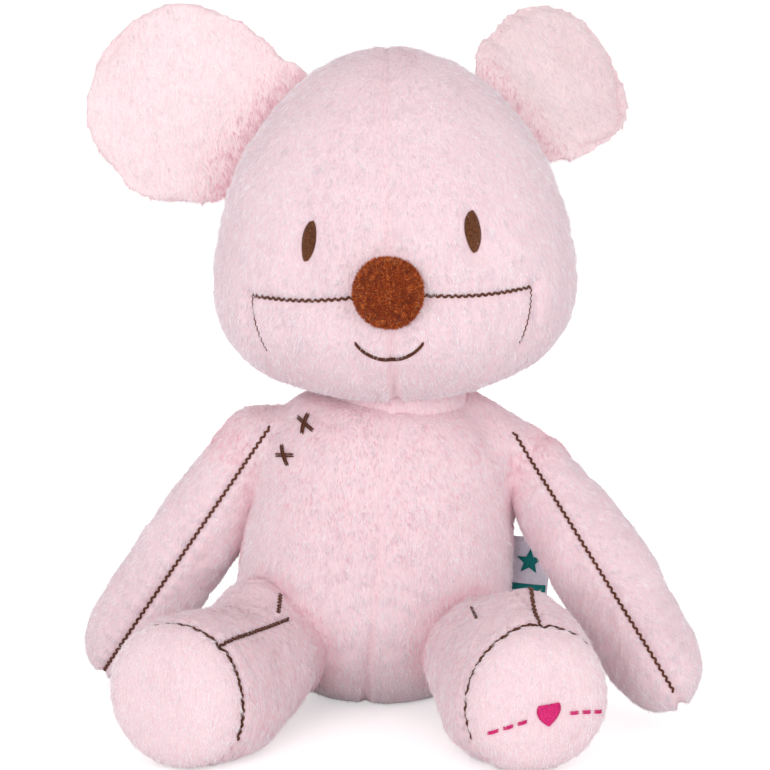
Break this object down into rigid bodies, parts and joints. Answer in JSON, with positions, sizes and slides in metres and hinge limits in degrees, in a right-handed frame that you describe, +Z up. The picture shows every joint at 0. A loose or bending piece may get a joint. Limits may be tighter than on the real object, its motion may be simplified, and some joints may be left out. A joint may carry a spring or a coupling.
{
  "type": "plush mouse",
  "caption": "Seated stuffed plush mouse with large round ears, ball-jointed sewn limbs, a round nose, embroidered face and stitched seams.",
  "frame": {"origin": "centre of the flat seat under the torso, on the floor", "axes": "+Z up, face and feet towards -Y, +X on the side of the leaning-back ear"},
  "size_m": [0.3071, 0.2385, 0.3506],
  "materials": {
    "pink_plush": "short plush pile",
    "pale_plush": "short plush pile",
    "nose_plush": "dense short pile",
    "eye_thread": "satin stitch",
    "brown_thread": "twisted sewing thread",
    "pink_thread": "sewing thread",
    "motif_thread": "satin stitch",
    "label_ribbon": "woven ribbon",
    "fibre_stuffing": "loose polyester fibre",
    "pellet_cloth": "plain cotton"
  },
  "bodies": {
    "torso": {"torso_front_left": "pink_plush", "torso_front_right": "pink_plush", "torso_back_left": "pink_plush", "torso_back_right": "pink_plush", "torso_seat": "pink_plush", "torso_stuffing": "fibre_stuffing", "pellet_bag": "pellet_cloth", "cross_stitches": "brown_thread"},
    "neck": {"neck_stuffing": "fibre_stuffing", "neck_band": "pink_plush", "neck_stitching": "pink_thread"},
    "head": {"head_crown_left": "pink_plush", "head_crown_right": "pink_plush", "head_back_left": "pink_plush", "head_back_right": "pink_plush", "muzzle_left": "pink_plush", "muzzle_right": "pink_plush", "head_stuffing": "fibre_stuffing", "nose_cover": "nose_plush", "nose_filling": "fibre_stuffing", "eye_left": "eye_thread", "eye_right": "eye_thread", "smile": "brown_thread", "muzzle_stitching": "brown_thread"},
    "ear_left": {"ear_left_front": "pale_plush", "ear_left_back": "pink_plush", "ear_left_wadding": "fibre_stuffing", "ear_left_seam": "pink_plush"},
    "ear_right": {"ear_right_front": "pale_plush", "ear_right_back": "pink_plush", "ear_right_wadding": "fibre_stuffing", "ear_right_seam": "pink_plush"},
    "arm_left": {"arm_left_outer": "pink_plush", "arm_left_inner": "pink_plush", "arm_left_stuffing": "fibre_stuffing", "arm_left_stitching": "brown_thread"},
    "arm_right": {"arm_right_outer": "pink_plush", "arm_right_inner": "pink_plush", "arm_right_stuffing": "fibre_stuffing", "arm_right_stitching": "brown_thread"},
    "leg_left": {"leg_left_outer": "pink_plush", "leg_left_inner": "pink_plush", "leg_left_sole": "pale_plush", "leg_left_stuffing": "fibre_stuffing", "leg_left_stitching": "brown_thread", "sole_left_stitching": "brown_thread"},
    "leg_right": {"leg_right_outer": "pink_plush", "leg_right_inner": "pink_plush", "leg_right_sole": "pale_plush", "leg_right_stuffing": "fibre_stuffing", "leg_right_stitching": "brown_thread", "sole_right_stitching": "brown_thread", "sole_motif": "motif_thread"},
    "label": {"side_label": "label_ribbon"}
  },
  "joints": [
    {"name": "neck_turn", "type": "hinge", "parent": "torso", "child": "neck", "pos_m": [0.015, 0, 0.143], "axis": [0, 0, 1], "range_deg": [-35, 35], "stiffness_Nm_per_rad": 0.3},
    {"name": "head_nod", "type": "hinge", "parent": "neck", "child": "head", "pos_m": [0.015, 0, 0.143], "axis": [1, 0, 0], "range_deg": [-16, 8], "stiffness_Nm_per_rad": 0.8},
    {"name": "ear_left_fold", "type": "hinge", "parent": "head", "child": "ear_left", "pos_m": [-0.0465, 0, 0.282], "axis": [0.5699, 0, 0.8217], "range_deg": [-20, 24], "stiffness_Nm_per_rad": 0.12},
    {"name": "ear_right_fold", "type": "hinge", "parent": "head", "child": "ear_right", "pos_m": [0.0705, 0.006, 0.2915], "axis": [0.6031, 0, -0.7977], "range_deg": [-3, 58], "stiffness_Nm_per_rad": 0.12},
    {"name": "arm_left_raise", "type": "hinge", "parent": "torso", "child": "arm_left", "pos_m": [-0.054, 0.002, 0.126], "axis": [0, 1, 0], "range_deg": [0, 62]},
    {"name": "arm_right_raise", "type": "hinge", "parent": "torso", "child": "arm_right", "pos_m": [0.082, 0, 0.12], "axis": [0, -1, 0], "range_deg": [0, 62]},
    {"name": "leg_left_flex", "type": "hinge", "parent": "torso", "child": "leg_left", "pos_m": [-0.0405, -0.0363, 0.0344], "axis": [-0.9079, 0.4192, 0], "range_deg": [-22, 24], "stiffness_Nm_per_rad": 0.5},
    {"name": "leg_right_flex", "type": "hinge", "parent": "torso", "child": "leg_right", "pos_m": [0.0516, -0.0374, 0.0344], "axis": [-0.9666, -0.2562, 0], "range_deg": [-22, 24], "stiffness_Nm_per_rad": 0.5},
    {"name": "label_bend", "type": "hinge", "parent": "torso", "child": "label", "pos_m": [0.0754, 0.004, 0.05], "axis": [0.0872, 0, 0.9962], "range_deg": [-3, 45], "stiffness_Nm_per_rad": 0.002}
  ]
}
